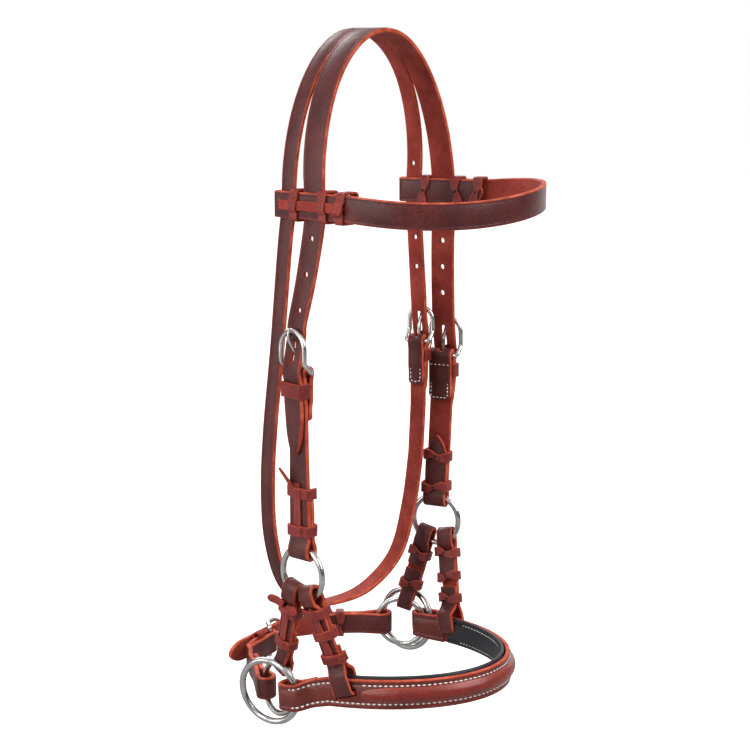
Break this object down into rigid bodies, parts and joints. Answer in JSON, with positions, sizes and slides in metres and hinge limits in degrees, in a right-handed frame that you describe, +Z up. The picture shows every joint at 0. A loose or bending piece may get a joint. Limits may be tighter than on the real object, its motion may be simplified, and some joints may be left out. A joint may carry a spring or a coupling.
{
  "type": "bitless leather bridle",
  "caption": "Bitless leather bridle with laced straps, a raised padded noseband hung on side rings, rein rings, a buckled chin strap and a throatlatch.",
  "frame": {"origin": "underside of the headpiece, midway between the sides, where it rests on the poll", "axes": "+Z up, -Y towards the horse's nose, +X the horse's left side"},
  "size_m": [0.2049, 0.2453, 0.5168],
  "materials": {
    "strap_leather": "satin, dark mahogany",
    "nose_leather": "satin, red brown",
    "lace_leather": "satin, red brown",
    "padding": "soft matt black",
    "stainless": "polished",
    "nickel": "polished"
  },
  "bodies": {
    "head_straps": {"headpiece": "strap_leather", "browband": "strap_leather", "right_browband_lace": "lace_leather", "left_browband_lace": "lace_leather", "right_cheekpiece": "strap_leather", "right_cheek_lace": "lace_leather", "right_cheek_buckle": "nickel", "right_cheek_keeper": "lace_leather", "left_cheekpiece": "strap_leather", "left_cheek_lace": "lace_leather", "left_cheek_buckle": "nickel", "left_cheek_keeper": "lace_leather"},
    "noseband_hanging": {"noseband": "nose_leather", "noseband_roll": "nose_leather", "noseband_padding": "padding", "right_front_link": "strap_leather", "right_rear_link": "strap_leather", "right_front_link_lace": "lace_leather", "right_rear_link_lace": "lace_leather", "left_front_link": "strap_leather", "left_rear_link": "strap_leather", "left_front_link_lace": "lace_leather", "left_rear_link_lace": "lace_leather"},
    "chin_strap": {"chin_long_strap": "nose_leather", "chin_buckle_strap": "nose_leather", "chin_buckle": "nickel", "chin_fixed_keeper": "lace_leather"},
    "chin_sliding_keeper_body": {"chin_sliding_keeper": "lace_leather"},
    "chin_tongue_body": {"chin_tongue": "nickel"},
    "throat_strap": {"throatlatch": "strap_leather", "throat_billet": "strap_leather", "throat_buckle": "nickel", "throat_keeper": "lace_leather"},
    "throat_tongue_body": {"throat_tongue": "nickel"},
    "right_upper_ring_body": {"right_upper_ring": "stainless"},
    "right_jaw_ring_body": {"right_jaw_ring": "stainless"},
    "right_rein_ring_body": {"right_rein_ring": "stainless"},
    "right_cheek_tongue_body": {"right_cheek_tongue": "nickel"},
    "left_upper_ring_body": {"left_upper_ring": "stainless"},
    "left_jaw_ring_body": {"left_jaw_ring": "stainless"},
    "left_rein_ring_body": {"left_rein_ring": "stainless"},
    "left_cheek_tongue_body": {"left_cheek_tongue": "nickel"}
  },
  "joints": [
    {"name": "right_upper_ring_turn", "type": "hinge", "parent": "head_straps", "child": "right_upper_ring_body", "pos_m": [-0.0915, -0.0026, -0.389], "axis": [-0.9903, 0.1392, 0], "continuous": true},
    {"name": "left_upper_ring_turn", "type": "hinge", "parent": "head_straps", "child": "left_upper_ring_body", "pos_m": [0.0915, -0.0026, -0.389], "axis": [0.9903, 0.1392, 0], "continuous": true},
    {"name": "noseband_swing", "type": "hinge", "parent": "head_straps", "child": "noseband_hanging", "pos_m": [0, -0.0026, -0.389], "axis": [1, 0, 0], "range_deg": [-6, 6]},
    {"name": "right_jaw_ring_turn", "type": "hinge", "parent": "noseband_hanging", "child": "right_jaw_ring_body", "pos_m": [-0.07995, 0.02946, -0.4865], "axis": [-0.9361, 0.3407, 0.0872], "continuous": true},
    {"name": "right_rein_ring_turn", "type": "hinge", "parent": "noseband_hanging", "child": "right_rein_ring_body", "pos_m": [-0.09001, 0.03024, -0.4865], "axis": [-0.9938, -0.0695, -0.0872], "continuous": true},
    {"name": "left_jaw_ring_turn", "type": "hinge", "parent": "noseband_hanging", "child": "left_jaw_ring_body", "pos_m": [0.07995, 0.02346, -0.4783], "axis": [0.9361, 0.3407, 0.0872], "continuous": true},
    {"name": "left_rein_ring_turn", "type": "hinge", "parent": "noseband_hanging", "child": "left_rein_ring_body", "pos_m": [0.09001, 0.02424, -0.4783], "axis": [0.9938, -0.0695, -0.0872], "continuous": true},
    {"name": "chin_strap_swing", "type": "hinge", "parent": "noseband_hanging", "child": "chin_strap", "pos_m": [0, 0.045, -0.484], "axis": [1, 0, 0], "range_deg": [-3, 3]},
    {"name": "chin_keeper_slide", "type": "slide", "parent": "chin_strap", "child": "chin_sliding_keeper_body", "axis": [-0.7595, 0.6496, -0.035], "range_m": [-0.0025, 0.0025]},
    {"name": "chin_tongue_lift", "type": "hinge", "parent": "chin_strap", "child": "chin_tongue_body", "pos_m": [-0.004, 0.096, -0.4852], "axis": [0, 0, 1], "range_deg": [0, 4]},
    {"name": "right_cheek_tongue_lift", "type": "hinge", "parent": "head_straps", "child": "right_cheek_tongue_body", "pos_m": [-0.09, -0.001, -0.239], "axis": [-0.2588, -0.9659, 0], "range_deg": [0, 5]},
    {"name": "left_cheek_tongue_lift", "type": "hinge", "parent": "head_straps", "child": "left_cheek_tongue_body", "pos_m": [0.09, -0.008, -0.252], "axis": [-0.1392, 0.9903, 0], "range_deg": [0, 5]},
    {"name": "throat_swing", "type": "hinge", "parent": "head_straps", "child": "throat_strap", "pos_m": [0, 0.0145, -0.126], "axis": [1, 0, 0], "range_deg": [-3, 3]},
    {"name": "throat_tongue_lift", "type": "hinge", "parent": "throat_strap", "child": "throat_tongue_body", "pos_m": [0.071, 0.003, -0.239], "axis": [-0.1392, 0.9903, 0], "range_deg": [0, 3]}
  ]
}
